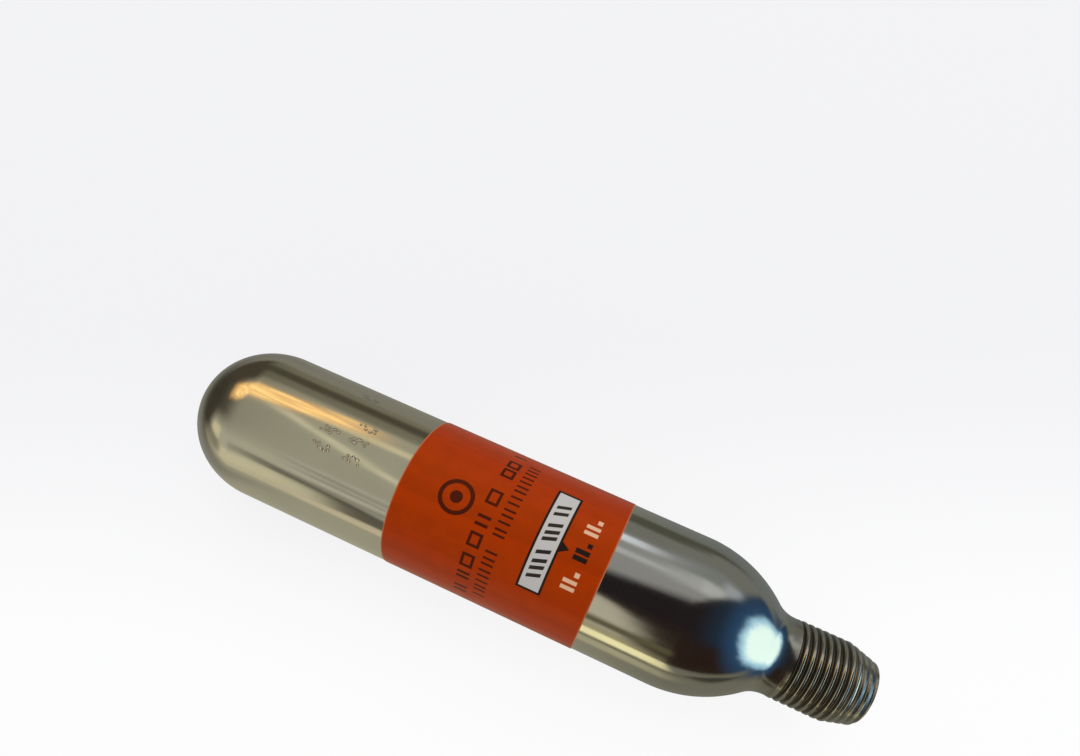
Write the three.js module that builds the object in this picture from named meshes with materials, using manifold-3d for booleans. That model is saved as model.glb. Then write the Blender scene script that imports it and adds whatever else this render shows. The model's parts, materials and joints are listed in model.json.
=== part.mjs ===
// Threaded carbon dioxide cylinder that inflates a life jacket or an airbag vest once and is then
// replaced. It lies on its side: +X runs along the axis and out of the neck, +Z is up, and the
// origin is on the surface it rests on, under the middle of its length. Millimetres throughout.
//
// bottle      one-piece drawn steel bottle: round base, wall, shoulder, threaded neck, seal seat
// seal_cap    steel closure set into the mouth, with the thin disc that a firing pin pierces
// label       printed adhesive film, wrapped once round the wall and lapped over its own end
// co2_charge  the liquefied gas that fills the bottle

import * as THREE from "three";
import { mergeVertices } from "three/addons/utils/BufferGeometryUtils.js";
import Module from "manifold-3d";

// ---------------------------------------------------------------- driving dimensions

const bottleLength = 139; // base to mouth
const bottleRadius = 15;
const wallThickness = 1.45;
const baseThickness = 1.8;

const shoulderRadius = 25.3; // large outward curve
const shoulderFillet = 6.3; // inward curve into the neck
const shoulderWall = 1.9; // the metal thickens as it is pressed in to the neck
const neckWall = 3.3;
const innerNeckShift = 1.2; // the bore's straight part starts this much nearer the mouth

const neckLength = 16; // straight neck to the mouth, with its thread and lead-in
const neckRelief = 0.12; // the plain neck is this much smaller than the thread, on the radius
const neckBore = 4.4;
const leadInLength = 5.4;
const mouthWall = 1.35; // metal between the seal's seat and the small end of the lead-in
const mouthRounding = 0.5;

const threadRadius = 7.82; // 5/8 inch, 18 threads to the inch, external, class 2A
const threadPitch = 25.4 / 18;
const threadCrest = threadPitch / 8; // width of the flat on top
const threadDepth = 0.6134 * threadPitch;
const threadRunOut = 0.75; // turns over which the groove fades in beside the shoulder
const plainNeck = 0.4; // unthreaded neck beside the shoulder
const threadRise = 1; // length over which the blank rises to the thread's crest

const sealLedge = 0.5; // width of the ring that the seal rests on
const sealSeatDepth = 1.5; // counterbore that the seal sits in
const sealRimThickness = 1.1;
const sealRimWidth = 1.9;
const sealDiscThickness = 0.4; // the disc that is pierced
const sealSkirtLength = 2.2;
const sealSkirtWall = 0.6;

const labelWidth = 39.6;
const labelMiddle = -1.75; // along X, from the middle of the bottle
const labelThickness = 0.12;
const labelLap = 4.5; // length of film that lies over the other end
const labelLapAngle = -18; // degrees below the horizontal, on the -Y side
const labelLapRise = 2.5; // length over which the outer end climbs on to the inner end

const fitGap = 0.05; // between the pieces that touch
const chargeGap = 0.3; // between the charge and the metal round it

const facets = 40; // round the axis, with one facet flat on the surface below
const baseSteps = 8;
const shoulderSteps = 7;
const filletSteps = 4;
const roundingSteps = 2;

// ---------------------------------------------------------------- sizes that follow from them

const baseEnd = -bottleLength / 2;
const mouthEnd = bottleLength / 2;
const neckStart = mouthEnd - neckLength;
const baseCentre = baseEnd + bottleRadius;
const leadInStart = mouthEnd - leadInLength;
const plainNeckRadius = threadRadius - neckRelief;
const sealRadius = neckBore + sealLedge;
const seatRadius = sealRadius + fitGap;
const mouthRadius = seatRadius + mouthWall;
const sealUnderside = mouthEnd - sealSeatDepth + fitGap;
const sealTop = sealUnderside + sealRimThickness;
const labelInside = bottleRadius + fitGap;
const labelOutside = labelInside + labelThickness;
const facetTurn = (2 * Math.PI) / facets;
const axisHeight = labelOutside * Math.cos(facetTurn / 2);

// ---------------------------------------------------------------- shared shapes

const wasm = await Module();
wasm.setup();

function toSolid(geometry) {
  const bare = geometry.index ? geometry.toNonIndexed() : geometry.clone();
  bare.deleteAttribute("normal");
  bare.deleteAttribute("uv");
  const merged = mergeVertices(bare, 1e-4);
  return new wasm.Manifold(
    new wasm.Mesh({
      numProp: 3,
      vertProperties: merged.attributes.position.array,
      triVerts: new Uint32Array(merged.index.array),
    }),
  );
}

function toGeometry(solid) {
  const mesh = solid.getMesh();
  const geometry = new THREE.BufferGeometry();
  geometry.setAttribute("position", new THREE.BufferAttribute(mesh.vertProperties, 3));
  geometry.setIndex(new THREE.BufferAttribute(mesh.triVerts, 1));
  geometry.computeVertexNormals();
  return geometry;
}

// Turns a profile of [distance along the axis, radius] points round the bottle's axis, which is +Y
// until the group at the end lays it along +X. A facet, and not an edge, faces down.
function turned(profile) {
  const points = profile.map(([along, radius]) => new THREE.Vector2(radius, along));
  return new THREE.LatheGeometry(points, facets, facetTurn / 2, 2 * Math.PI);
}

// Points of an arc round [along, radius], from one angle to another; 0 points along the axis.
function arc([along, radius], size, from, to, steps) {
  return Array.from({ length: steps + 1 }, (_, i) => {
    const angle = from + ((to - from) * i) / steps;
    return [along + size * Math.cos(angle), Math.max(0, radius + size * Math.sin(angle))];
  });
}

// The curve from the straight wall to the straight neck, which starts at neckEnd: a large outward
// arc, then the fillet that meets both it and the neck. Its length follows from the two radii.
function shoulderCurve(wallRadius, outwardRadius, neckRadius, filletRadius, neckEnd) {
  const apart = outwardRadius + filletRadius;
  const lean = Math.acos((apart - (wallRadius - neckRadius)) / apart);
  const start = neckEnd - apart * Math.sin(lean);
  const outward = arc([start, wallRadius - outwardRadius], outwardRadius,
    Math.PI / 2, Math.PI / 2 - lean, shoulderSteps);
  const inward = arc([neckEnd, neckRadius + filletRadius], filletRadius,
    1.5 * Math.PI - lean, 1.5 * Math.PI, filletSteps);
  return [...outward, ...inward.slice(1)];
}

// ---------------------------------------------------------------- the bottle

// The hollow, from the inside of the base to the bore, set in from the metal by a gap.
function hollow(gap = 0) {
  const radius = bottleRadius - wallThickness - gap;
  const start = baseEnd + baseThickness + gap;
  const base = arc([start + radius, 0], radius, Math.PI, Math.PI / 2, baseSteps);
  const curve = shoulderCurve(radius, shoulderRadius - shoulderWall, neckBore - gap,
    shoulderFillet + neckWall, neckStart + innerNeckShift);
  return [...base, ...curve];
}

function bottleProfile() {
  const base = arc([baseCentre, 0], bottleRadius, Math.PI, Math.PI / 2, baseSteps);
  const shoulder = shoulderCurve(bottleRadius, shoulderRadius, plainNeckRadius,
    shoulderFillet, neckStart);
  const neck = [
    [neckStart + plainNeck, plainNeckRadius],
    [neckStart + plainNeck + threadRise, threadRadius],
    [leadInStart, threadRadius],
    ...arc([mouthEnd - mouthRounding, mouthRadius - mouthRounding], mouthRounding,
      Math.PI / 2, 0, roundingSteps),
    [mouthEnd, seatRadius],
    [mouthEnd - sealSeatDepth, seatRadius],
    [mouthEnd - sealSeatDepth, neckBore],
  ];
  return [...base, ...shoulder, ...neck, ...hollow().reverse()];
}

// A closed bar of the groove's section, wound along the neck. Its first turns lie outside the
// metal and sink to full depth, so that the thread fades in beside the shoulder.
function threadGroove() {
  const proud = 0.12;
  const flank = Math.tan(Math.PI / 6);
  const rootHalf = (threadPitch - threadCrest) / 2 - threadDepth * flank;
  const topHalf = rootHalf + (threadDepth + proud) * flank;
  const start = neckStart + plainNeck;
  const turns = (mouthEnd + topHalf - start) / threadPitch;
  const steps = Math.round(turns * facets);
  const positions = [];
  for (let i = 0; i <= steps; i++) {
    const turn = i / facets;
    const angle = (i + 0.5) * facetTurn;
    const along = start + turn * threadPitch;
    const lift = (threadDepth + proud / 2) * Math.max(0, 1 - turn / threadRunOut);
    const root = threadRadius - threadDepth + lift;
    const top = threadRadius + proud + lift;
    for (const [offset, radius] of [[-rootHalf, root], [rootHalf, root], [topHalf, top], [-topHalf, top]]) {
      positions.push(radius * Math.sin(angle), along + offset, radius * Math.cos(angle));
    }
  }
  const index = [];
  for (let i = 0; i < steps; i++) {
    for (let side = 0; side < 4; side++) {
      const a = 4 * i + side;
      const b = 4 * i + ((side + 1) % 4);
      index.push(a, b, a + 4, b, b + 4, a + 4);
    }
  }
  const last = 4 * steps;
  index.push(0, 2, 1, 0, 3, 2, last, last + 1, last + 2, last, last + 2, last + 3);
  const bar = new THREE.BufferGeometry();
  bar.setAttribute("position", new THREE.BufferAttribute(new Float32Array(positions), 3));
  bar.setIndex(index);
  return bar;
}

function bottleGeometry() {
  return toGeometry(toSolid(turned(bottleProfile())).subtract(toSolid(threadGroove())));
}

// ---------------------------------------------------------------- the seal

function sealGeometry() {
  const skirtOutside = neckBore - fitGap;
  const skirtInside = skirtOutside - sealSkirtWall;
  const skirtEnd = sealUnderside - sealSkirtLength;
  const disc = sealUnderside + sealDiscThickness;
  return turned([
    [sealUnderside, 0],
    [sealUnderside, skirtInside],
    [skirtEnd, skirtInside],
    [skirtEnd, skirtOutside],
    [sealUnderside, skirtOutside],
    [sealUnderside, sealRadius],
    [sealTop, sealRadius],
    [sealTop, sealRadius - sealRimWidth],
    [disc, sealRadius - sealRimWidth - (sealTop - disc)],
    [disc, 0],
  ]);
}

// ---------------------------------------------------------------- the label

// The wrapped film seen along the axis. Its outer end climbs on to its inner end and lies over it.
function labelGeometry() {
  const lapTurn = Math.round(labelLap / (labelInside * facetTurn));
  const riseTurn = Math.max(1, Math.round(labelLapRise / (labelInside * facetTurn)));
  const climb = labelThickness + fitGap / 2;
  const from = Math.round(THREE.MathUtils.degToRad(180 - labelLapAngle) / facetTurn) + 0.5;
  const inside = [];
  const outside = [];
  for (let i = 0; i <= facets + lapTurn; i++) {
    const angle = (from + i) * facetTurn;
    const lifted = THREE.MathUtils.clamp((i - (facets - riseTurn)) / riseTurn, 0, 1) * climb;
    for (const [side, radius] of [[inside, labelInside + lifted], [outside, labelOutside + lifted]]) {
      side.push(new THREE.Vector2(radius * Math.cos(angle), radius * Math.sin(angle)));
    }
  }
  const film = new THREE.Shape([...inside, ...outside.reverse()]);
  const strip = new THREE.ExtrudeGeometry(film, { depth: labelWidth, bevelEnabled: false });
  // From the drawing plane (Y, Z) with depth along X to the turned pieces' frame.
  strip.rotateX(-Math.PI / 2);
  strip.rotateY(Math.PI);
  strip.translate(0, labelMiddle - labelWidth / 2, 0);
  return strip;
}

// ---------------------------------------------------------------- the charge

function chargeGeometry() {
  const end = sealUnderside - sealSkirtLength - chargeGap;
  return turned([...hollow(chargeGap), [end, neckBore - chargeGap], [end, 0]]);
}

// ---------------------------------------------------------------- materials and assembly

function metal(color, roughness) {
  return new THREE.MeshStandardMaterial({ color, roughness, metalness: 1 });
}

const pieces = [
  ["bottle", bottleGeometry(), metal(0xb5ae98, 0.14)],
  ["seal_cap", sealGeometry(), metal(0xbcbab4, 0.22)],
  ["label", labelGeometry(), new THREE.MeshStandardMaterial({ color: 0xb23a08, roughness: 0.32 })],
  ["co2_charge", chargeGeometry(), new THREE.MeshStandardMaterial({ color: 0xdfe8ee, roughness: 0.1 })],
];

const cylinder = new THREE.Group();
for (const [name, geometry, material] of pieces) {
  const mesh = new THREE.Mesh(geometry, material);
  mesh.name = name;
  cylinder.add(mesh);
}
cylinder.rotation.z = -Math.PI / 2;
cylinder.position.z = axisHeight;

const part = new THREE.Group();
part.add(cylinder);

export default part;
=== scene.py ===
"""Threaded carbon dioxide cylinder: its visible pieces and a small photo studio round it.

Metres throughout. The bottle lies along X with its neck at +X, and Z = 0 is what it lies on.
"""

import json
import math

import bpy
from bpy.props import FloatProperty, FloatVectorProperty, IntProperty, PointerProperty
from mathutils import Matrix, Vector

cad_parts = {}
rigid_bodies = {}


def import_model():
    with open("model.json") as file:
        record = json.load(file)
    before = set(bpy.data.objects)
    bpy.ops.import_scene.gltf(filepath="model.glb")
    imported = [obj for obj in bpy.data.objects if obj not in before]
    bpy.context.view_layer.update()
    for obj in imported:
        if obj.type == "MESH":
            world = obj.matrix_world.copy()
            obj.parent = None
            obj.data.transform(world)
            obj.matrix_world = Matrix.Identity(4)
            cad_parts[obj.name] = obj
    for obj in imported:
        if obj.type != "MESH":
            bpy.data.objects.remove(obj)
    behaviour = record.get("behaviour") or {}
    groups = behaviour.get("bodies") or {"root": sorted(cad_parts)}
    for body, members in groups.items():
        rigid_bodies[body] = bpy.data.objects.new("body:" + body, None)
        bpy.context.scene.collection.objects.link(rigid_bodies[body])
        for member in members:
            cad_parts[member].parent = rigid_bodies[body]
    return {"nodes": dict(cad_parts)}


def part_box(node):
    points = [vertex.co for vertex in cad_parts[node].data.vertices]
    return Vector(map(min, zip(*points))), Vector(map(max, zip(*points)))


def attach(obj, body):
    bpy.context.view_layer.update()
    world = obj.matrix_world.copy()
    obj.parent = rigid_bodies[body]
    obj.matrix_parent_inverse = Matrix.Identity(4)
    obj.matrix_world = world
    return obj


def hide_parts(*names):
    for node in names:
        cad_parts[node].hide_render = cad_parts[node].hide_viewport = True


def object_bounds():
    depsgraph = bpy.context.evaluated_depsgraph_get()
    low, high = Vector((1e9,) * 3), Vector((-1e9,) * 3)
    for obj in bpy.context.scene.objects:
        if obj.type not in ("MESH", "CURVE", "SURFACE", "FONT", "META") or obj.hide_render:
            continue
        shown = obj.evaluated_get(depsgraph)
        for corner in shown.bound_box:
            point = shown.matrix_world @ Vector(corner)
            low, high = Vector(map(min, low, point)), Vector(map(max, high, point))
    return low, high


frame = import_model()
CAD_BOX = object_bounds()

bl_info = {
    "name": "Threaded CO2 Cylinder",
    "version": (1, 0, 0),
    "blender": (4, 5, 0),
    "location": "View3D > Sidebar > Cylinder",
    "description": "Builds a threaded carbon dioxide cylinder piece by piece, with its studio",
    "category": "Add Mesh",
}

MM = 0.001
TURN = 2 * math.pi


# ------------------------------------------------------------------ sizes and colours


def length(name, description, millimetres):
    """A size in metres whose default is given in millimetres."""
    return FloatProperty(
        name=name,
        description=description,
        default=millimetres * MM,
        unit="LENGTH",
        precision=5,
    )


def colour(name, description, value):
    """A linear colour that a user may change."""
    return FloatVectorProperty(
        name=name,
        description=description,
        default=value,
        subtype="COLOR",
        size=3,
        min=0,
        max=1,
    )


class BottleSizes(bpy.types.PropertyGroup):
    """The drawn steel bottle."""

    radius: length("Radius", "Outside of the straight wall", 15.0)
    wall: length("Wall", "Thickness of the straight wall", 1.45)
    base: length("Base", "Thickness in the middle of the round base", 1.8)
    shoulder: length("Shoulder", "Outward curve of the shoulder", 25.3)
    fillet: length("Fillet", "Inward curve from the shoulder to the neck", 6.3)
    shoulder_wall: length("Shoulder wall", "Thickness along the shoulder", 1.9)
    neck_wall: length("Neck wall", "Thickness of the plain neck", 3.3)
    inner_shift: length("Inner shift", "How much nearer the mouth the bore starts", 1.2)
    segments: IntProperty(
        name="Segments",
        description="Faces round the axis",
        default=144,
        min=24,
    )


class NeckSizes(bpy.types.PropertyGroup):
    """The threaded neck and its mouth."""

    length: length("Length", "Straight neck with its thread and lead-in", 16.0)
    plain: length("Plain", "Unthreaded neck beside the shoulder", 0.4)
    rise: length("Rise", "Length over which the neck grows to the crest", 1.0)
    relief: length("Relief", "How far the plain neck lies under the crest", 0.12)
    crest: length("Crest radius", "Radius over the thread", 7.82)
    pitch: length("Pitch", "Advance of the thread in one turn", 25.4 / 18)
    depth: FloatProperty(
        name="Depth",
        description="Depth of the groove, as a share of the pitch",
        default=0.47,
        min=0.1,
        max=0.62,
    )
    crest_round: FloatProperty(
        name="Crest rounding",
        description="Radius over the crest, as a share of the pitch",
        default=0.15,
        min=0.05,
        max=0.22,
    )
    bore: length("Bore", "Radius of the hole through the neck", 4.4)
    lead_in: length("Lead-in", "Length of the taper at the mouth", 5.4)
    mouth_wall: length("Mouth wall", "Metal round the seal at the mouth", 1.35)
    rounding: length("Rounding", "Radius of the mouth's outer edge", 0.5)


class SealSizes(bpy.types.PropertyGroup):
    """The closure that a firing pin pierces."""

    ledge: length("Ledge", "Width of the ring that the seal rests on", 0.5)
    seat: length("Seat depth", "Depth of the counterbore", 1.5)
    rim: length("Rim", "Thickness of the rim", 1.1)
    rim_width: length("Rim width", "Width of the flat rim", 1.9)
    disc: length("Disc", "Thickness of the disc that is pierced", 0.4)
    skirt: length("Skirt", "Length of the skirt pressed into the bore", 2.2)
    skirt_wall: length("Skirt wall", "Thickness of the skirt", 0.6)
    gap: length("Gap", "Clearance to the bottle", 0.05)


class LabelSizes(bpy.types.PropertyGroup):
    """The printed film."""

    width: length("Width", "Along the bottle", 39.6)
    middle: length("Middle", "Along X from the middle of the bottle", -1.75)
    thickness: length("Thickness", "Of the film with its adhesive", 0.10)
    gap: length("Gap", "Clearance to the bottle", 0.02)
    lap: length("Lap", "Film that lies over its other end", 4.5)
    lap_rise: length("Lap rise", "Length over which the outer end climbs", 2.5)
    film: colour("Film", "Orange ground of the print", (0.355, 0.029, 0.0002))
    ink: colour("Ink", "Dark print", (0.035, 0.004, 0.003))
    window: colour("Window", "Pale panel", (0.47, 0.46, 0.44))
    pale: colour("Pale marks", "Pale size marks", (0.72, 0.48, 0.30))


class StageSettings(bpy.types.PropertyGroup):
    """Floor, light and camera."""

    lens: FloatProperty(
        name="Lens",
        description="Focal length",
        default=21.82,
        min=1,
        unit="CAMERA",
    )
    azimuth: FloatProperty(
        name="Azimuth",
        description="Where the camera stands round the bottle",
        default=math.radians(25.1),
        subtype="ANGLE",
    )
    elevation: FloatProperty(
        name="Elevation",
        description="How high the camera stands",
        default=math.radians(73.93),
        subtype="ANGLE",
    )
    distance: length("Distance", "From the camera to the bottle", 128.04)
    aside: length("Aside", "How far the camera stands right of its aim", 3.878)
    raised: length("Raised", "How far the camera stands above its aim", 3.579)
    shift: FloatProperty(
        name="Shift",
        description="How far the picture is shifted upwards, as a share of its width",
        default=0.13148,
        min=-1,
        max=1,
    )
    floor: colour("Floor", "Pale floor near the camera", (0.985, 0.985, 0.985))
    far_floor: colour("Far floor", "Pale floor further away", (0.888, 0.888, 0.906))
    self_lit: FloatProperty(
        name="Floor glow",
        description="How much of the floor's brightness is its own, which softens shadows",
        default=0.88,
        min=0,
        max=1,
    )
    room: FloatProperty(
        name="Room light",
        description="Strength of the soft light from all round",
        default=0.80,
        min=0,
    )


class CylinderSettings(bpy.types.PropertyGroup):
    """Everything that a user may change."""

    bottle: PointerProperty(type=BottleSizes)
    neck: PointerProperty(type=NeckSizes)
    seal: PointerProperty(type=SealSizes)
    label: PointerProperty(type=LabelSizes)
    stage: PointerProperty(type=StageSettings)


def settings():
    return bpy.context.scene.gas_cylinder


BASE_END = CAD_BOX[0][0]
MOUTH_END = CAD_BOX[1][0]
AXIS_Z = (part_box("seal_cap")[0][2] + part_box("seal_cap")[1][2]) / 2


# ------------------------------------------------------------------ shaping by hand


def deselect():
    for other in list(bpy.context.selected_objects):
        other.select_set(False)


def make_active(piece):
    deselect()
    piece.select_set(True)
    bpy.context.view_layer.objects.active = piece


def draw(name, points, closed=False):
    """A chain of edges through [along, radius] points above the axis, from one merged plane."""
    deselect()
    (along, radius), *rest = points
    bpy.ops.mesh.primitive_plane_add(size=MM, location=(along, 0, AXIS_Z + radius))
    chain = bpy.context.object
    chain.name = chain.data.name = name
    bpy.ops.object.transform_apply(location=True)
    bpy.ops.object.mode_set(mode="EDIT")
    bpy.ops.mesh.merge(type="CENTER")
    for point in rest:
        step = (point[0] - along, 0, point[1] - radius)
        bpy.ops.mesh.extrude_region_move(TRANSFORM_OT_translate={"value": step})
        along, radius = point
    if closed:
        bpy.ops.object.mode_set(mode="OBJECT")
        vertices = chain.data.vertices
        vertices[0].select = vertices[len(vertices) - 1].select = True
        bpy.ops.object.mode_set(mode="EDIT")
        bpy.ops.mesh.edge_face_add()
    bpy.ops.object.mode_set(mode="OBJECT")
    return chain


def spin(piece, segments, angle=TURN):
    """Turns a chain round the bottle's axis into a skin."""
    make_active(piece)
    bpy.ops.object.mode_set(mode="EDIT")
    bpy.ops.mesh.select_all(action="SELECT")
    bpy.ops.mesh.spin(
        steps=segments,
        angle=angle,
        center=(0, 0, AXIS_Z),
        axis=(1, 0, 0),
        use_auto_merge=angle == TURN,
    )
    bpy.ops.object.mode_set(mode="OBJECT")


def close_skin(piece):
    """Merges doubles, such as those at a pole, and turns every face outwards."""
    make_active(piece)
    bpy.ops.object.mode_set(mode="EDIT")
    bpy.ops.mesh.select_all(action="SELECT")
    bpy.ops.mesh.remove_doubles(threshold=1e-6)
    bpy.ops.mesh.normals_make_consistent(inside=False)
    bpy.ops.object.mode_set(mode="OBJECT")


def smooth(piece):
    """Shades every edge smooth that bends by less than 30 degrees."""
    make_active(piece)
    bpy.ops.object.shade_smooth_by_angle(angle=math.radians(30))


def settle(piece, node, finish):
    """Gives a finished piece its finish and its body, and hides the solid that it stands for."""
    piece.data.materials.clear()
    piece.data.materials.append(finish)
    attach(piece, "root")
    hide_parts(node)


def arc(centre, radius, start, end, steps):
    """Points of an arc in the plane of the axis; an angle of 0 points along +X."""
    along, height = centre
    points = []
    for i in range(steps + 1):
        angle = start + (end - start) * i / steps
        points.append(
            (
                along + radius * math.cos(angle),
                max(0.0, height + radius * math.sin(angle)),
            )
        )
    return points


def shoulder_curve(wall, outward, neck, fillet, end, steps):
    """The outward arc and the fillet from the wall to a neck that starts at end."""
    apart = outward + fillet
    lean = math.acos((apart - (wall - neck)) / apart)
    start = end - apart * math.sin(lean)
    quarter = math.pi / 2
    over = arc((start, wall - outward), outward, quarter, quarter - lean, steps)
    under = arc((end, neck + fillet), fillet, 3 * quarter - lean, 3 * quarter, steps)
    return over + under[1:]


# ------------------------------------------------------------------ the bottle


def seat_radius():
    s = settings()
    return s.neck.bore + s.seal.ledge + s.seal.gap


def bottle_profile():
    s = settings()
    b, n = s.bottle, s.neck
    quarter = math.pi / 2
    neck_start = MOUTH_END - n.length
    plain = n.crest - n.relief
    outside = arc((BASE_END + b.radius, 0), b.radius, 2 * quarter, quarter, 26)
    outside += shoulder_curve(b.radius, b.shoulder, plain, b.fillet, neck_start, 20)
    mouth = seat_radius() + n.mouth_wall
    outside += [
        (neck_start + n.plain, plain),
        (neck_start + n.plain + n.rise, n.crest),
        (MOUTH_END - n.lead_in, n.crest),
    ]
    lip = (MOUTH_END - n.rounding, mouth - n.rounding)
    outside += arc(lip, n.rounding, quarter - 0.25, 0, 7)
    break_edge = 0.12 * MM
    inner_lip = (MOUTH_END - break_edge, seat_radius() + break_edge)
    outside += arc(inner_lip, break_edge, 0, -quarter, 3)
    seat = MOUTH_END - s.seal.seat
    bore_edge = 0.15 * MM
    outside += [(seat, seat_radius()), (seat, n.bore + bore_edge)]
    outside += [(seat - bore_edge, n.bore)]
    inner = b.radius - b.wall
    start = BASE_END + b.base
    inside = arc((start + inner, 0), inner, 2 * quarter, quarter, 16)
    inside += shoulder_curve(
        inner,
        b.shoulder - b.shoulder_wall,
        n.bore,
        b.fillet + b.neck_wall,
        neck_start + b.inner_shift,
        10,
    )
    return outside + inside[::-1]


def groove_section():
    """Half-widths and radii of the groove, from its rounded root out past the rounded crests."""
    n = settings().neck
    lean = math.radians(30)
    crest = n.crest + 0.06 * MM
    root = n.crest - n.depth * n.pitch
    root_round = 0.16 * n.pitch
    half = [(0.0, root)]
    for i in range(1, 4):
        angle = (math.pi / 2 - lean) * i / 3
        half.append((root_round * math.sin(angle), root + root_round * (1 - math.cos(angle))))
    across, radius = half[-1]
    crest_round = n.crest_round * n.pitch
    shoulder = n.crest - crest_round * (1 - math.sin(lean))
    across += (shoulder - radius) * math.tan(lean)
    for i in range(5):
        angle = (math.pi / 2 - lean) * (1 - 0.7 * i / 4)
        away = crest_round * (math.cos(lean) - math.sin(angle))
        half.append((across + away, n.crest - crest_round * (1 - math.cos(angle))))
    half.append((half[-1][0] + 0.02 * MM, crest))
    return [(-across, radius) for across, radius in reversed(half[1:])] + half


def taper(piece, start, stop, change):
    """Widens or narrows a piece about the axis from start, where nothing changes, to stop."""
    make_active(piece)
    bpy.context.scene.cursor.location = (start, 0, AXIS_Z)
    bpy.ops.object.origin_set(type="ORIGIN_CURSOR")
    places = [vertex.co.x + start for vertex in piece.data.vertices]
    low, high = min(places), max(places)
    ends = sorted(((start - low) / (high - low), (stop - low) / (high - low)))
    bpy.ops.object.modifier_add(type="SIMPLE_DEFORM")
    bend = piece.modifiers[-1]
    bend.deform_method = "TAPER"
    bend.deform_axis = "X"
    bend.factor = change if stop > start else -change
    bend.limits = (max(0, ends[0]), min(1, ends[1]))
    bpy.ops.object.modifier_apply(modifier=bend.name)
    bpy.ops.object.transform_apply(location=True)


def thread_cutter():
    """A bar of the groove's section wound along the neck, sinking in at its start."""
    n = settings().neck
    start = MOUTH_END - n.length + n.plain - 0.4 * MM
    chain = draw(
        "thread_cutter",
        [(start + across, radius) for across, radius in groove_section()],
        closed=True,
    )
    make_active(chain)
    bpy.context.scene.cursor.location = (0, 0, AXIS_Z)
    bpy.ops.object.origin_set(type="ORIGIN_CURSOR")
    turns = (MOUTH_END + n.pitch - start) / n.pitch
    bpy.ops.object.modifier_add(type="SCREW")
    screw = chain.modifiers[-1]
    screw.axis = "X"
    screw.angle = TURN * turns
    screw.screw_offset = n.pitch * turns
    screw.steps = screw.render_steps = round(96 * turns)
    bpy.ops.object.modifier_apply(modifier=screw.name)
    bpy.ops.object.transform_apply(location=True)
    bpy.ops.object.mode_set(mode="EDIT")
    bpy.ops.mesh.select_all(action="DESELECT")
    bpy.ops.mesh.select_non_manifold()
    bpy.ops.mesh.fill_holes(sides=0)
    bpy.ops.mesh.select_all(action="SELECT")
    bpy.ops.mesh.normals_make_consistent(inside=False)
    bpy.ops.object.mode_set(mode="OBJECT")
    taper(chain, start + 0.9 * n.pitch, start - 0.5 * n.pitch, 0.13)
    lead = MOUTH_END - n.lead_in
    lip = MOUTH_END - n.rounding
    mouth = seat_radius() + n.mouth_wall
    shrink = (mouth + 0.12 * MM - n.crest) / n.crest
    past_mouth = MOUTH_END + 1.5 * n.pitch
    taper(chain, lead, past_mouth, shrink * (past_mouth - lead) / (lip - lead))
    return chain


def cut_thread(bottle):
    cutter = thread_cutter()
    make_active(bottle)
    bpy.ops.object.modifier_add(type="BOOLEAN")
    cut = bottle.modifiers[-1]
    cut.operation = "DIFFERENCE"
    cut.solver = "EXACT"
    cut.object = cutter
    bpy.ops.object.modifier_apply(modifier=cut.name)
    # The cut leaves faces with many corners, which are split here so that none folds over itself.
    bpy.ops.object.modifier_add(type="TRIANGULATE")
    split = bottle.modifiers[-1]
    split.ngon_method = "BEAUTY"
    split.min_vertices = 5
    bpy.ops.object.modifier_apply(modifier=split.name)
    make_active(cutter)
    bpy.ops.object.delete()
    drop_shavings(bottle)


def drop_shavings(bottle):
    """Keeps only what hangs together with the middle of the base."""
    make_active(bottle)
    bpy.ops.object.mode_set(mode="EDIT")
    bpy.ops.mesh.select_all(action="DESELECT")
    bpy.ops.object.mode_set(mode="OBJECT")
    min(bottle.data.vertices, key=lambda vertex: vertex.co.x).select = True
    bpy.ops.object.mode_set(mode="EDIT")
    bpy.ops.mesh.select_linked()
    bpy.ops.mesh.select_all(action="INVERT")
    bpy.ops.mesh.delete(type="VERT")
    bpy.ops.object.mode_set(mode="OBJECT")


class GAS_OT_bottle(bpy.types.Operator):
    """Spins the bottle from its profile and cuts the thread into its neck"""

    bl_idname = "gas_cylinder.bottle"
    bl_label = "Bottle"

    def execute(self, context):
        bottle = draw("steel_bottle", bottle_profile())
        spin(bottle, settings().bottle.segments)
        close_skin(bottle)
        cut_thread(bottle)
        smooth(bottle)
        settle(bottle, "bottle", plated_steel())
        return {"FINISHED"}


# ------------------------------------------------------------------ the seal


class GAS_OT_seal(bpy.types.Operator):
    """Spins the closure with its dished disc and skirt"""

    bl_idname = "gas_cylinder.seal"
    bl_label = "Seal"

    def execute(self, context):
        s = settings()
        q = s.seal
        underside = MOUTH_END - q.seat + q.gap
        top = underside + q.rim
        outside = s.neck.bore + q.ledge
        skirt = s.neck.bore - q.gap
        disc = underside + q.disc
        edge = 0.25 * MM
        quarter = math.pi / 2
        dish = outside - q.rim_width
        bevel = 0.1 * MM
        tail = underside - q.skirt
        hollow = skirt - q.skirt_wall
        profile = [(underside, 0), (underside, hollow - edge), (underside - edge, hollow)]
        profile += [(tail, hollow + bevel), (tail, skirt - bevel), (tail + bevel, skirt)]
        profile += [(underside, skirt), (underside, outside - bevel), (underside + bevel, outside)]
        profile += arc((top - edge, outside - edge), edge, quarter, 0, 5)
        profile += arc((top - edge, dish + edge), edge, 0, -quarter * 0.6, 4)
        deep = 0.35 * MM
        profile += arc((disc + deep, dish - deep - 0.55 * MM), deep, quarter * 1.35, 2 * quarter, 4)
        profile += [(disc, 0.9 * MM), (disc - 0.04 * MM, 0.75 * MM), (disc, 0.6 * MM), (disc, 0)]
        seal = draw("seal_closure", profile)
        spin(seal, 96)
        close_skin(seal)
        smooth(seal)
        settle(seal, "seal_cap", seal_steel())
        return {"FINISHED"}


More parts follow.
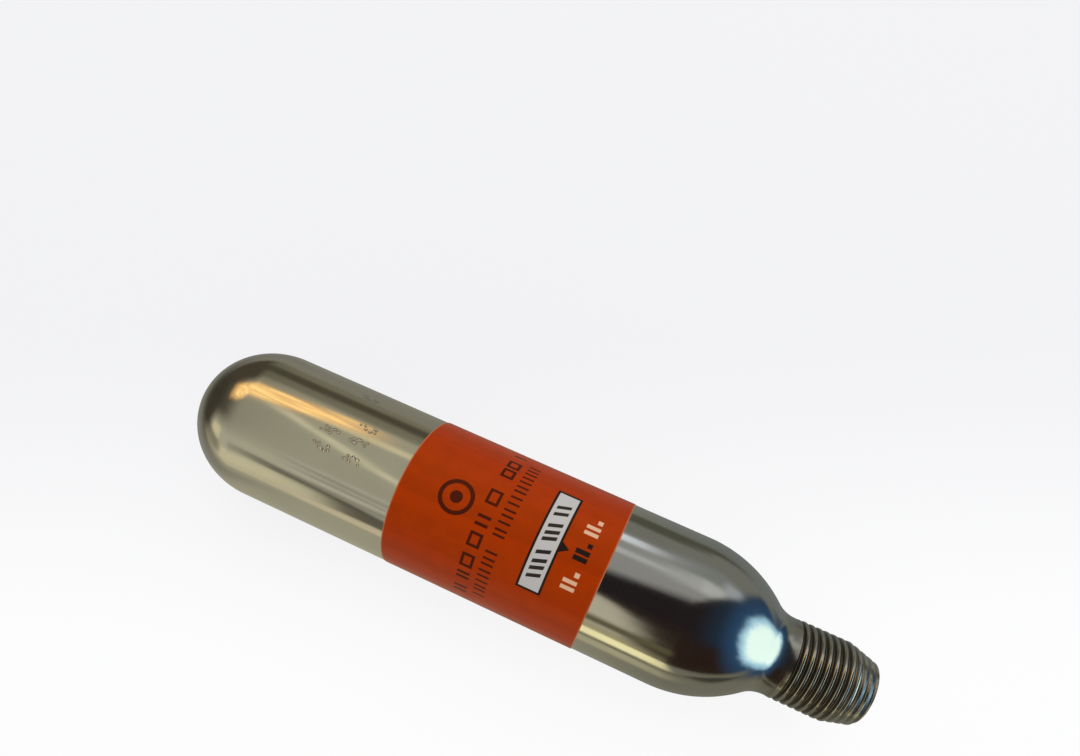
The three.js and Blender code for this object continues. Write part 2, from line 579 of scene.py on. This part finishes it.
# ------------------------------------------------------------------ the label


LAP_START = math.radians(112.5)  # where the film's inner end lies, from the top towards -Y
FILM_STEPS = 180  # steps of the film in one turn round the wall


class GAS_OT_label(bpy.types.Operator):
    """Wraps the film round the wall and laps its outer end over its inner end"""

    bl_idname = "gas_cylinder.label"
    bl_label = "Label"

    def execute(self, context):
        s = settings()
        f = s.label
        inner = s.bottle.radius + f.gap
        outer = inner + f.thickness
        left = f.middle - f.width / 2
        right = f.middle + f.width / 2
        soft = 0.02 * MM
        film = draw(
            "label_film",
            [
                (left, inner),
                (left, outer - soft),
                (left + soft, outer),
                (right - soft, outer),
                (right, outer - soft),
                (right, inner),
            ],
            closed=True,
        )
        step = TURN / FILM_STEPS
        laps = round(f.lap / (inner * step))
        make_active(film)
        bpy.ops.object.mode_set(mode="EDIT")
        bpy.ops.mesh.select_all(action="SELECT")
        bpy.ops.transform.rotate(
            value=-LAP_START, orient_axis="X", center_override=(0, 0, AXIS_Z)
        )
        bpy.ops.object.mode_set(mode="OBJECT")
        spin(film, FILM_STEPS + laps, -(TURN + laps * step))
        self.lift_lap(film, inner, step, laps)
        make_active(film)
        bpy.ops.object.mode_set(mode="EDIT")
        bpy.ops.mesh.select_all(action="DESELECT")
        bpy.ops.mesh.select_non_manifold()
        bpy.ops.mesh.fill_holes(sides=0)
        bpy.ops.object.mode_set(mode="OBJECT")
        close_skin(film)
        smooth(film)
        settle(film, "label", label_print())
        return {"FINISHED"}

    def lift_lap(self, film, inner, step, laps):
        """Moves the last stations of the film outwards, over the layer below."""
        f = settings().label
        rise = round(f.lap_rise / (inner * step))
        climb = f.thickness + f.gap
        per_station = 6
        climb_start = FILM_STEPS - rise
        make_active(film)
        for i in range(climb_start + 1, FILM_STEPS + laps + 1):
            share = min(1, (i - climb_start) / rise)
            lift = climb * share * share * (3 - 2 * share)
            bpy.ops.object.mode_set(mode="EDIT")
            bpy.ops.mesh.select_all(action="DESELECT")
            bpy.ops.object.mode_set(mode="OBJECT")
            vertices = film.data.vertices
            ring = [vertices[i * per_station + k] for k in range(per_station)]
            for vertex in ring:
                vertex.select = True
            away = Vector((0, ring[0].co.y, ring[0].co.z - AXIS_Z)).normalized() * lift
            bpy.ops.object.mode_set(mode="EDIT")
            bpy.ops.transform.translate(value=away)
        bpy.ops.object.mode_set(mode="OBJECT")


# ------------------------------------------------------------------ the charge


class GAS_OT_charge(bpy.types.Operator):
    """Gives the liquefied gas inside the bottle its look"""

    bl_idname = "gas_cylinder.charge"
    bl_label = "Charge"

    def execute(self, context):
        charge = frame["nodes"]["co2_charge"]
        charge.data.materials.clear()
        charge.data.materials.append(liquid_gas())
        return {"FINISHED"}


# ------------------------------------------------------------------ shader arithmetic


class Socket:
    """A shader value that plain arithmetic adds Math nodes to."""

    def __init__(self, graph, link):
        self.graph = graph
        self.link = link

    def math(self, operation, *others, clamp=False):
        values = dict(enumerate((self, *others)))
        setup = {"operation": operation, "use_clamp": clamp}
        return self.graph.node("ShaderNodeMath", setup, values)

    def flipped(self, operation, other):
        setup = {"operation": operation}
        return self.graph.node("ShaderNodeMath", setup, {0: other, 1: self})

    def __add__(self, other):
        return self.math("ADD", other)

    def __sub__(self, other):
        return self.math("SUBTRACT", other)

    def __mul__(self, other):
        return self.math("MULTIPLY", other)

    def __truediv__(self, other):
        return self.math("DIVIDE", other)

    def __radd__(self, other):
        return self.flipped("ADD", other)

    def __rsub__(self, other):
        return self.flipped("SUBTRACT", other)

    def __rmul__(self, other):
        return self.flipped("MULTIPLY", other)

    def __abs__(self):
        return self.math("ABSOLUTE")

    def smaller(self, other):
        return self.math("MINIMUM", other)

    def larger(self, other):
        return self.math("MAXIMUM", other)

    def ramp(self, low, high):
        """0 at low and below, 1 at high and above, smooth between."""
        setup = {"interpolation_type": "SMOOTHSTEP"}
        values = {"Value": self, "From Min": low, "From Max": high}
        return self.graph.node("ShaderNodeMapRange", setup, values)

    def between(self, low, high, soft):
        """1 between low and high, falling to 0 over soft on either side."""
        return self.ramp(low - soft / 2, low + soft / 2) * (
            1 - self.ramp(high - soft / 2, high + soft / 2)
        )


class Graph:
    """The nodes of one material or world."""

    def __init__(self, tree):
        self.tree = tree
        tree.nodes.clear()

    def node(self, kind, setup=None, values=None, output=0):
        made = self.tree.nodes.new(kind)
        for name, value in (setup or {}).items():
            setattr(made, name, value)
        for name, value in (values or {}).items():
            socket = made.inputs[name]
            if isinstance(value, Socket):
                self.tree.links.new(value.link, socket)
            elif isinstance(value, tuple) and socket.type == "RGBA":
                socket.default_value = (*value, 1.0)
            else:
                socket.default_value = value
        return Socket(self, made.outputs[output]) if made.outputs else made

    def mix(self, factor, below, above):
        """Blends two colours."""
        setup = {"data_type": "RGBA"}
        values = {0: factor, 6: below, 7: above}
        return self.node("ShaderNodeMix", setup, values, output=2)

    def position(self):
        """Object coordinates along the axis, and across it from the axis, in millimetres."""
        place = self.node("ShaderNodeTexCoord", output=3)
        centred = self.node(
            "ShaderNodeVectorMath",
            {"operation": "SUBTRACT"},
            {0: place, 1: (0, 0, AXIS_Z)},
        )
        scaled = self.node(
            "ShaderNodeVectorMath",
            {"operation": "SCALE"},
            {0: centred, "Scale": 1 / MM},
        )
        parts = [
            self.node("ShaderNodeSeparateXYZ", values={0: scaled}, output=i)
            for i in range(3)
        ]
        return scaled, parts

    def noise(self, place, stretch, scale, detail):
        stretched = self.node(
            "ShaderNodeVectorMath",
            {"operation": "MULTIPLY"},
            {0: place, 1: stretch},
        )
        values = {"Vector": stretched, "Scale": scale, "Detail": detail}
        return self.node("ShaderNodeTexNoise", values=values)

    def bump(self, height, strength, distance):
        values = {"Height": height, "Strength": strength, "Distance": distance}
        return self.node("ShaderNodeBump", values=values)

    def surface(self, shader):
        self.node("ShaderNodeOutputMaterial", values={0: shader})


def new_finish(name):
    finish = bpy.data.materials.new(name)
    finish.use_nodes = True
    return finish, Graph(finish.node_tree)


# ------------------------------------------------------------------ finishes


def box_mask(across, along, centre, half, soft=0.06):
    """A soft-edged rectangle on the unrolled wall, in millimetres."""
    first = (half[0] - abs(across - centre[0])).ramp(-soft, soft)
    second = (half[1] - abs(along - centre[1])).ramp(-soft, soft)
    return first * second


def any_of(masks):
    result = masks[0]
    for mask in masks[1:]:
        result = result.larger(mask)
    return result


VIEW_TILT = math.radians(14.6)  # the side with the print faces this far from the top, towards -Y


def unrolled(parts, radius):
    """Distance round the wall from the middle of the print, in millimetres, rising towards +Y."""
    x, y, z = parts
    angle = y.math("ARCTAN2", z)
    return (angle + VIEW_TILT) * radius


STAMPS = [(-37.4, 4.2), (-37.6, 0.8), (-31.4, 0.9), (-31.4, 7.4), (-31.6, 4.3), (-35.6, 14.8)]
STAMP_COLUMNS = [-1.5, -0.9, -0.3, 0.35, 0.95, 1.5]


def stamp_distance(x, round_wall):
    """Distance to the nearest dot of the peened marks: short uneven rows, no two alike."""
    closest = None
    for mark, (along, across) in enumerate(STAMPS):
        near = x - along
        beside = round_wall - across
        for i, column in enumerate(STAMP_COLUMNS):
            for row in (-0.35, 0.35):
                phase = 5.1 * mark + 2.3 * i + 4.7 * row
                if math.sin(phase * 3.1) < -0.7:
                    continue
                u = near - (column + 0.16 * math.sin(phase))
                v = beside - (row + 0.14 * math.cos(phase * 1.7))
                away = (u * u + v * v).math("SQRT") + 0.05 * math.sin(phase * 2.3)
                closest = away if closest is None else closest.smaller(away)
    return closest


def plated_steel():
    finish, g = new_finish("plated_steel")
    place, (x, y, z) = g.position()
    s = settings()
    neck = (MOUTH_END - s.neck.length) / MM
    lead = (MOUTH_END - s.neck.lead_in) / MM
    crest, bore = s.neck.crest / MM, s.neck.bore / MM
    reach = (y * y + z * z).math("SQRT")
    round_wall = unrolled((x, y, z), s.bottle.radius / MM)
    cloud = g.noise(place, (1, 1, 1), 0.09, 4)
    drawn = g.noise(place, (0.02, 0.9, 0.9), 1.2, 3)
    grain = g.noise(place, (0.15, 1, 1), 9, 2)
    in_neck = x.ramp(neck - 3.3, neck - 1.3)
    in_groove = 1 - (reach + (x - lead).larger(0) * 0.33).ramp(crest - 0.37, crest - 0.04)
    in_groove = in_neck * in_groove * (1 - x.ramp(lead - 1.1, lead + 1.9) * 0.5)
    turned = g.node(
        "ShaderNodeTexNoise",
        {"noise_dimensions": "1D"},
        {"W": x, "Scale": 11, "Detail": 4},
    )
    to_dot = stamp_distance(x, round_wall)
    # Each peened dot is a real dent in the bump; its near-white colour is a painted glint, and the
    # dark ring round it is painted shade.
    dent_and_glint = 1 - to_dot.ramp(0.06, 0.26)
    rim_shade = to_dot.between(0.20, 0.34, 0.12)
    base = g.mix(cloud.ramp(0.3, 0.72), (0.735, 0.705, 0.615), (0.69, 0.66, 0.575))
    base = g.mix(in_neck * (0.55 - x.ramp(lead - 2.1, lead + 0.9) * 0.5), base, (0.50, 0.45, 0.34))
    # Painted shade: the thread's grooves are darkened nearly to black, less so towards the mouth.
    base = g.mix(in_groove * 0.85, base, (0.10, 0.08, 0.055))
    # Painted shade round each dot, then a painted glint in it.
    base = g.mix(rim_shade * 0.6, base, (0.28, 0.25, 0.19))
    base = g.mix(dent_and_glint * 0.8, base, (0.97, 0.94, 0.88))
    # Painted shade: darker inside the bore.
    inside_bore = x.ramp(-90, 66) * (1 - reach.ramp(bore + 0.2, bore + 0.35))
    base = g.mix(inside_bore * 0.5, base, (0.35, 0.33, 0.29))
    rough = 0.085 + cloud.ramp(0.35, 0.8) * 0.05 + grain * 0.03 + in_neck * 0.06 + in_groove * 0.2
    height = drawn * 0.5 + grain * 0.04 + turned * in_neck * 0.30 - dent_and_glint * 6.5
    shader = g.node(
        "ShaderNodeBsdfPrincipled",
        values={
            "Base Color": base,
            "Metallic": 1.0,
            "Roughness": rough,
            "Normal": g.bump(height, 0.5, 0.02 * MM),
        },
    )
    g.surface(shader)
    return finish


def seal_steel():
    finish, g = new_finish("seal_steel")
    place, (x, y, z) = g.position()
    reach = (y * y + z * z).math("SQRT")
    cloud = g.noise(place, (1, 1, 1), 0.8, 4)
    rings = g.node(
        "ShaderNodeTexNoise",
        {"noise_dimensions": "1D"},
        {"W": reach, "Scale": 9, "Detail": 5},
    )
    base = g.mix(cloud.ramp(0.3, 0.7), (0.76, 0.75, 0.72), (0.66, 0.65, 0.62))
    base = g.mix(1 - reach.ramp(3.0, 4.6), base, (0.70, 0.66, 0.58))
    shader = g.node(
        "ShaderNodeBsdfPrincipled",
        values={
            "Base Color": base,
            "Metallic": 1.0,
            "Roughness": 0.2 + cloud * 0.12 + rings * 0.1,
            "Normal": g.bump(rings + cloud * 0.3, 0.5, 0.02 * MM),
        },
    )
    g.surface(shader)
    return finish


def slanted_ticks(along, across, row, height, starts, thick, slope):
    """A row of short strokes that stands in for print, one at each place round the wall."""
    masks = []
    for centre in starts:
        lean = across - centre - (along - row) * slope
        masks.append(box_mask(lean, along, (0.0, row), (thick / 2, height / 2)))
    return any_of(masks)


PRINT_RADIUS = 15.17  # radius on which the print is measured
MARK_ALONG, MARK_ACROSS = -11.0, 2.6
LARGE_ROW, SMALL_ROW, PANEL_ROW, SIZE_ROW = -4.9, -1.3, 6.95, 13.15
LARGE_STROKES = [17.8, 1.4, -0.1, -10.0, -11.1, -13.9, -15.3]
LARGE_FRAMES = [(13.9, 1.15), (11.1, 1.15), (5.3, 1.5), (-3.0, 1.4), (-7.2, 1.4)]
SMALL_STROKES = [15.6, 14.3, 13.2, 11.9, 10.7, 9.4, 8.3, 6.9, 5.6, 4.2, 3.1, 1.8, 0.4, -0.6]
SMALL_STROKES += [-3.9, -5.2, -6.3, -7.7, -8.9, -10.2, -11.5, -12.6, -14.1]
WINDOW_STROKES = [-4.4, -2.9, -1.6, 0.1, 2.6, 3.8, 5.2, 7.6, 9.1]


def frames(along, across, row, height, line):
    """A row of hollow blocks that stands in for large print."""
    masks = []
    for centre, half in LARGE_FRAMES:
        outer = box_mask(across, along, (centre, row), (half, height / 2))
        inner = box_mask(across, along, (centre, row), (half - line, height / 2 - line))
        masks.append(outer * (1 - inner))
    return any_of(masks)


def label_print():
    finish, g = new_finish("label_print")
    f = settings().label
    place, (x, y, z) = g.position()
    across = unrolled((x, y, z), PRINT_RADIUS)
    fibre = g.noise(place, (1, 1, 1), 0.35, 4)
    fine = g.noise(place, (1, 1, 1), 6, 2)
    ink = tuple(f.ink)
    # Stripes along the bottle, lighter and darker, are painted reflections on the film; the fibre
    # noise adds random tone.
    sheen_bands = g.node(
        "ShaderNodeTexNoise",
        {"noise_dimensions": "1D"},
        {"W": across * 0.3, "Scale": 1.0, "Detail": 3},
    )
    shade = (fibre * 0.4 + sheen_bands * 0.6).ramp(0.38, 0.62)
    film = g.mix(shade, tuple(f.film), tuple(c * 0.87 for c in f.film))
    middle = f.middle / MM
    edge = f.width / MM / 2 - abs(x - middle)
    u, v = x - MARK_ALONG, across - MARK_ACROSS
    away = (u * u + v * v).math("SQRT")
    ring = away.between(2.5, 3.3, 0.14)
    drop = 1 - away.ramp(1.1, 1.24)
    large = slanted_ticks(x, across, LARGE_ROW, 2.5, LARGE_STROKES, 0.6, 0.0)
    large = large.larger(frames(x, across, LARGE_ROW, 2.5, 0.55))
    small = slanted_ticks(x, across, SMALL_ROW, 2.3, SMALL_STROKES, 0.42, 0.0)
    border = box_mask(across, x, (2.5, PANEL_ROW), (10.1, 2.35))
    panel = box_mask(across, x, (2.5, PANEL_ROW), (9.65, 1.9))
    strokes = slanted_ticks(x, across, PANEL_ROW, 2.5, WINDOW_STROKES, 0.72, 0.35)
    wedge = (1.05 - abs(across - 2.15) - (x - 9.2) * 0.62).ramp(-0.05, 0.05)
    pointer = wedge * x.ramp(9.1, 9.2)
    dark_marks = size_marks(x, across, 2.9, 0.62)
    pale_marks = size_marks(x, across, -2.6, 0.42).larger(size_marks(x, across, 7.8, 0.42))
    dark = any_of([ring, drop, large, small])
    black = any_of([border, pointer, dark_marks])
    paint = g.mix(dark * 0.93, film, ink)
    paint = g.mix(black, paint, (0.012, 0.008, 0.008))
    paint = g.mix(panel, paint, tuple(f.window))
    paint = g.mix(strokes, paint, (0.02, 0.02, 0.022))
    paint = g.mix(pale_marks * 0.85, paint, tuple(f.pale))
    # A painted highlight: a pale line along both ends of the film.
    paint = g.mix((1 - edge.ramp(0.0, 0.35)) * 0.35, paint, (0.60, 0.40, 0.22))
    shader = g.node(
        "ShaderNodeBsdfPrincipled",
        values={
            "Base Color": paint,
            "Roughness": 0.27 + fibre * 0.08 + dark * 0.05,
            "Specular IOR Level": 0.3,
            "Specular Tint": (1.0, 0.42, 0.12),
            "Normal": g.bump(fibre * 1.2 + fine * 0.06, 0.35, 0.05 * MM),
        },
    )
    g.surface(shader)
    return finish


def size_marks(x, across, centre, thick):
    """Two tall strokes and a short one, in place of a printed size."""
    first = box_mask(across, x, (centre - 1.35, SIZE_ROW), (thick / 2 + 0.15, 1.3))
    second = box_mask(across, x, (centre - 0.1, SIZE_ROW), (thick / 2 + 0.15, 1.3))
    third = box_mask(across, x, (centre + 1.35, SIZE_ROW + 0.75), (0.45, 0.45))
    return any_of([first, second, third])


def liquid_gas():
    finish, g = new_finish("liquid_gas")
    place, _ = g.position()
    cloud = g.noise(place, (1, 1, 1), 0.12, 5)
    base = g.mix(cloud.ramp(0.35, 0.7), (0.80, 0.87, 0.91), (0.90, 0.94, 0.96))
    shader = g.node(
        "ShaderNodeBsdfPrincipled",
        values={
            "Base Color": base,
            "Roughness": 0.08 + cloud * 0.12,
            "Normal": g.bump(cloud, 0.3, 0.1 * MM),
        },
    )
    g.surface(shader)
    return finish


# ------------------------------------------------------------------ the studio


METAL = (0.72, 0.69, 0.60)


def seen(red, green, blue, strength=1.0):
    """The light that shows as this screen colour in the bottle's plating."""
    linear = []
    for value, metal in zip((red, green, blue), METAL):
        value /= 255
        value = value / 12.92 if value <= 0.04045 else ((value + 0.055) / 1.055) ** 2.4
        linear.append(strength * value / metal)
    return tuple(linear)


def paint_room(g):
    """The room that the plating mirrors: walls, windows and dark corners by direction."""
    direction = g.node("ShaderNodeTexCoord", output=0)
    ragged = g.noise(direction, (1, 1, 1), 7.0, 4) - 0.5
    ragged_too = g.noise(direction, (1.3, 0.8, 1), 5.0, 4) - 0.5
    dx, dy, dz = [
        g.node("ShaderNodeSeparateXYZ", values={0: direction}, output=i) for i in range(3)
    ]
    side = dy.math("ARCTAN2", dz) * (180 / math.pi) + ragged * 6  # 0 up, 90 level at +Y
    end = dx.math("ARCSINE") * (180 / math.pi) + ragged_too * 4  # 90 straight off the neck
    room = paint_base_end(g, side, end)
    neck_end = paint_neck_end(g, side, end)
    room = g.mix(end.ramp(-15, -5), room, neck_end)
    splash = g.noise(direction, (1, 1, 1), 22.0, 3) - 0.5
    glow = g.node(
        "ShaderNodeVectorMath",
        {"operation": "DOT_PRODUCT"},
        {0: direction, 1: (0.993, 0.035, 0.11)},
        output=1,
    )
    near_glow = glow + (ragged + splash * 0.8) * 0.05
    room = g.mix(near_glow.ramp(0.64, 0.90) * 0.9, room, seen(34, 66, 96))
    room = g.mix(near_glow.ramp(0.86, 0.925), room, seen(158, 200, 216, 1.0))
    return g.mix(near_glow.ramp(0.915, 0.96), room, seen(222, 245, 232, 1.08))


def paint_base_end(g, side, end):
    """What lies off the round end of the bottle."""
    room = g.mix(side.ramp(-60, -40), seen(160, 155, 130), seen(146, 142, 119))
    room = g.mix(side.ramp(48, 58), room, seen(108, 104, 84))
    room = g.mix(side.between(68, 83, 8), room, seen(68, 64, 48))
    streaky = g.node(
        "ShaderNodeTexNoise",
        {"noise_dimensions": "1D"},
        {"W": side * 0.11 + end * 0.012, "Scale": 1.6, "Detail": 4},
    )
    low = side.between(-78, -44, 8) * end.ramp(-32, -24)
    room = g.mix(streaky.ramp(0.42, 0.62) * low * 0.8, room, seen(112, 111, 100))
    room = g.mix((1 - streaky.ramp(0.36, 0.5)) * low * 0.6, room, seen(176, 175, 160))
    keel = side + (end + 20) * 0.9 + 79
    torn = streaky.ramp(0.30, 0.60) + end.ramp(-25, -20)
    keel = keel.between(-6, 4, 6) * end.between(-32, -10, 9) * torn.smaller(1)
    room = g.mix(keel, room, seen(60, 56, 46))
    corner = 1 - side.ramp(-84, -74)
    room = g.mix(corner * end.between(-46, -26, 8), room, seen(186, 177, 142))
    room = g.mix(corner * (1 - end.ramp(-52, -40)), room, seen(124, 117, 94))
    room = g.mix((1 - side.ramp(-82, -76)) * end.ramp(-26, -22), room, seen(82, 77, 62))
    # Beyond the dome the room grows dark, but for a pale strip low down.
    room = g.mix((1 - end.ramp(-62, -22)) * side.ramp(-58, -20), room, seen(66, 62, 49))
    room = g.mix(side.ramp(38, 52) * (1 - end.ramp(-42, -30)), room, seen(62, 56, 42))
    strip = side.between(-77, -56, 10) * end.between(-65, -50, 5)
    room = g.mix(strip * 0.9, room, seen(196, 185, 144))
    room = g.mix(1 - end.ramp(-76, -62), room, seen(53, 48, 37))
    # A pale line overhead, and the warm lamp.
    line = (side + end * 2.7 + 69.5).between(-4, 4, 5) * end.between(-32, -16, 3)
    room = g.mix(line * 0.75, room, seen(204, 194, 158, 1.05))
    upright = side.between(25, 33, 5) * end.between(-34, -17, 3)
    room = g.mix(upright * 0.6, room, seen(206, 192, 146, 1.05))
    middle = 20 + (end.larger(-40) + 40) * 1.35
    reach = 21 - end.ramp(-46, -26) * 10
    lamp = (1 - (abs(side - middle) / reach).ramp(0.45, 1.1)) * end.between(-58, -24, 7)
    by_angle = g.node("ShaderNodeCombineXYZ", values={0: side, 1: end})
    mottle = g.node(
        "ShaderNodeTexNoise",
        {"noise_dimensions": "2D"},
        {"Vector": by_angle, "Scale": 0.3, "Detail": 5},
    )
    room = g.mix(lamp * 0.95, room, seen(212, 164, 100))
    core = (1 - (abs(side - middle) / reach).ramp(0.3, 0.95)) * end.between(-52, -25, 6)
    return g.mix(core * mottle.ramp(0.35, 0.62), room, seen(252, 206, 130, 1.4))


def paint_neck_end(g, side, end):
    """What lies off the neck."""
    room = g.mix(side.ramp(55, 66), seen(128, 127, 121), seen(104, 104, 94))
    room = g.mix(side.between(42, 66, 8) * end.ramp(3, 9), room, seen(112, 114, 110))
    ridge = side.between(24, 44, 10) * end.ramp(2, 14)
    room = g.mix(ridge, room, seen(164, 165, 157))
    tip = side.between(40, 60, 10) * end.between(26, 42, 8)
    room = g.mix(tip, room, seen(146, 150, 150))
    room = g.mix(side.between(86, 106, 6) * (1 - end.ramp(4, 12)), room, seen(70, 70, 57))
    window = side.between(48, 58, 4) * (1 - end.ramp(1, 6))
    room = g.mix(window * 0.8, room, seen(206, 211, 213, 1.1))
    window = side.between(28, 36, 5) * (1 - end.ramp(3, 9)) * 0.5
    room = g.mix(window, room, seen(186, 187, 184))
    # The dark end of the room: brown, then blue higher up.
    dark = g.mix(side.ramp(-62, -20), seen(34, 22, 14), seen(24, 19, 20))
    dark = g.mix(end.ramp(14, 40) * side.ramp(-55, -30), dark, seen(24, 36, 50))
    edge = side - end * 1.28 + 6
    shadow = (1 - edge.ramp(-5, 9)).larger((end - abs(side - 48) * 0.1).ramp(36, 44) * 0.95)
    room = g.mix(shadow, room, dark)
    corner = (end + (side + 50).larger(0) * 0.35).smaller(12)
    room = g.mix((1 - corner.ramp(4, 7)) * (1 - side.ramp(-40, -32)), room, seen(172, 165, 141))
    room = g.mix(side.between(-80, -70, 6) * (1 - end.ramp(7, 14)), room, seen(84, 78, 54))
    return g.mix((1 - side.ramp(-86, -80)) * (1 - end.ramp(3, 11)), room, seen(146, 138, 106))


def paint_table(g, x, y):
    """What the plating mirrors of the table that the bottle lies on."""
    near_base = g.mix(y.ramp(-0.02, 0.02), seen(146, 141, 117), seen(118, 115, 99))
    near_neck = g.mix(y.ramp(-0.02, 0.02), seen(102, 100, 85), seen(99, 101, 95))
    table = g.mix(x.ramp(-0.01, 0.05), near_base, near_neck)
    off_base = ((x + 0.0545) * (x + 0.0545) + y * y).math("SQRT")
    beyond = (1 - x.ramp(-0.085, -0.064)) * (1 - abs(y).ramp(0.03, 0.08))
    table = g.mix(beyond * 0.7, table, seen(112, 110, 99))
    table = g.mix(beyond * off_base.ramp(0.025, 0.13), table, seen(76, 72, 60))
    cream = g.mix(x.ramp(-0.05, 0.02), seen(180, 168, 136), seen(232, 222, 168))
    behind = y.between(0.10, 0.9, 0.05) * x.between(0.01, 0.10, 0.03)
    table = g.mix(behind, table, seen(70, 70, 57))
    glare = (1 - y.ramp(-0.112, -0.090)) * (0.045 - y * 0.14 - x).ramp(-0.01, 0.02)
    table = g.mix(glare, table, cream)
    bright = y.between(-0.072, -0.045, 0.01) * x.between(0.01, 0.045, 0.03)
    table = g.mix(bright * 0.7, table, seen(170, 162, 128))
    groove = y.between(-0.092, -0.076, 0.012) * x.between(0.0, 0.09, 0.03)
    table = g.mix(groove * 0.75, table, seen(92, 84, 60))
    spot = x.between(0.074, 0.12, 0.02) * y.between(-0.10, -0.05, 0.02)
    table = g.mix(spot, table, seen(56, 54, 43))
    return table


class GAS_OT_stage(bpy.types.Operator):
    """Lays the floor, lights the room and sets up the camera"""

    bl_idname = "gas_cylinder.stage"
    bl_label = "Stage"

    def execute(self, context):
        self.lay_floor()
        self.light_room()
        self.hang_light()
        self.set_camera()
        bpy.context.scene.view_settings.view_transform = "Standard"
        return {"FINISHED"}

    def lay_floor(self):
        deselect()
        bpy.ops.mesh.primitive_grid_add(
            x_subdivisions=8, y_subdivisions=8, size=8, location=(0, 0, 0)
        )
        floor = bpy.context.object
        floor.name = floor.data.name = "studio_floor"
        finish, g = new_finish("studio_floor")
        mirrored = g.node("ShaderNodeLightPath", output=3)
        place = g.node("ShaderNodeTexCoord", output=3)
        x = g.node("ShaderNodeSeparateXYZ", values={0: place}, output=0)
        y = g.node("ShaderNodeSeparateXYZ", values={0: place}, output=1)
        far_x = (abs(x) - 0.07).ramp(0.03, 0.22)
        lane = 1 - (abs(y - 0.004) - x * 0.42).ramp(-0.02, 0.02)
        gone = far_x.larger(abs(y).ramp(0.3, 0.7)).larger(lane * x.ramp(0.072, 0.11))
        clear = g.node("ShaderNodeBsdfTransparent")
        pale = tuple(settings().stage.floor)
        reach = y * 0.87 - x * 0.41
        far_off = (x * x + y * y).math("SQRT").ramp(0.25, 0.8)
        fade = reach.ramp(-0.03, 0.055).larger(far_off)
        away = g.mix(fade, pale, tuple(settings().stage.far_floor))
        matt = g.node("ShaderNodeBsdfDiffuse", values={"Color": away})
        lit = g.node("ShaderNodeEmission", values={"Color": away})
        soft = settings().stage.self_lit
        matt = g.node("ShaderNodeMixShader", values={0: soft, 1: matt, 2: lit})
        card = g.node("ShaderNodeEmission", values={"Color": paint_table(g, x, y)})
        card = g.node("ShaderNodeMixShader", values={0: gone, 1: card, 2: clear})
        g.surface(g.node("ShaderNodeMixShader", values={0: mirrored, 1: matt, 2: card}))
        floor.data.materials.append(finish)

    def light_room(self):
        bpy.ops.world.new()
        world = bpy.data.worlds[-1]
        bpy.context.scene.world = world
        world.use_nodes = True
        g = Graph(world.node_tree)
        mirrored = g.node("ShaderNodeLightPath", output=3)
        strength = settings().stage.room
        soft = g.node(
            "ShaderNodeBackground",
            values={"Color": (0.97, 0.98, 1.0), "Strength": strength},
        )
        room = g.node("ShaderNodeBackground", values={"Color": paint_room(g)})
        both = g.node("ShaderNodeMixShader", values={0: mirrored, 1: soft, 2: room})
        seen_straight = g.node("ShaderNodeLightPath", output=0)
        plain = g.node(
            "ShaderNodeBackground",
            values={"Color": tuple(settings().stage.far_floor)},
        )
        g.node(
            "ShaderNodeOutputWorld",
            values={0: g.node("ShaderNodeMixShader", values={0: seen_straight, 1: both, 2: plain})},
        )

    def hang_light(self):
        deselect()
        bpy.ops.object.light_add(type="AREA", location=(0.05, 0.45, 0.75))
        lamp = bpy.context.object
        lamp.name = lamp.data.name = "softbox"
        lamp.data.shape = "RECTANGLE"
        lamp.data.size, lamp.data.size_y = 1.2, 0.9
        lamp.data.energy = 3.2
        lamp.rotation_euler = (-math.radians(31), 0, 0)
        lamp.visible_glossy = False

    def set_camera(self):
        s = settings().stage
        a, e = s.azimuth, s.elevation
        back = Vector((math.sin(a) * math.cos(e), -math.cos(a) * math.cos(e), math.sin(e)))
        right = Vector((math.cos(a), math.sin(a), 0))
        up = back.cross(right)
        aim = Vector((0.3 * MM, 0, AXIS_Z))
        place = aim + right * s.aside + up * s.raised + back * s.distance
        deselect()
        bpy.ops.object.camera_add(location=place)
        camera = bpy.context.object
        camera.name = camera.data.name = "studio_camera"
        camera.rotation_mode = "QUATERNION"
        camera.rotation_quaternion = (-back).to_track_quat("-Z", "Y")
        camera.data.lens = s.lens
        camera.data.sensor_width = 36
        camera.data.shift_y = s.shift
        camera.data.clip_start = 0.005
        camera.data.clip_end = 50
        bpy.context.scene.camera = camera


# ------------------------------------------------------------------ add-on


class VIEW3D_PT_gas_cylinder(bpy.types.Panel):
    """The steps that build the cylinder, in order."""

    bl_label = "CO2 Cylinder"
    bl_space_type = "VIEW_3D"
    bl_region_type = "UI"
    bl_category = "Cylinder"

    def draw(self, context):
        for operator in OPERATORS:
            self.layout.operator(operator.bl_idname)


OPERATORS = [GAS_OT_bottle, GAS_OT_seal, GAS_OT_label, GAS_OT_charge, GAS_OT_stage]
GROUPS = [BottleSizes, NeckSizes, SealSizes, LabelSizes, StageSettings, CylinderSettings]


def register():
    for cls in GROUPS + OPERATORS + [VIEW3D_PT_gas_cylinder]:
        bpy.utils.register_class(cls)
    bpy.types.Scene.gas_cylinder = PointerProperty(type=CylinderSettings)


def unregister():
    del bpy.types.Scene.gas_cylinder
    for cls in reversed(GROUPS + OPERATORS + [VIEW3D_PT_gas_cylinder]):
        bpy.utils.unregister_class(cls)


def main():
    register()
    bpy.ops.gas_cylinder.bottle()
    bpy.ops.gas_cylinder.seal()
    bpy.ops.gas_cylinder.label()
    bpy.ops.gas_cylinder.charge()
    bpy.ops.gas_cylinder.stage()


if __name__ == "__main__":
    main()
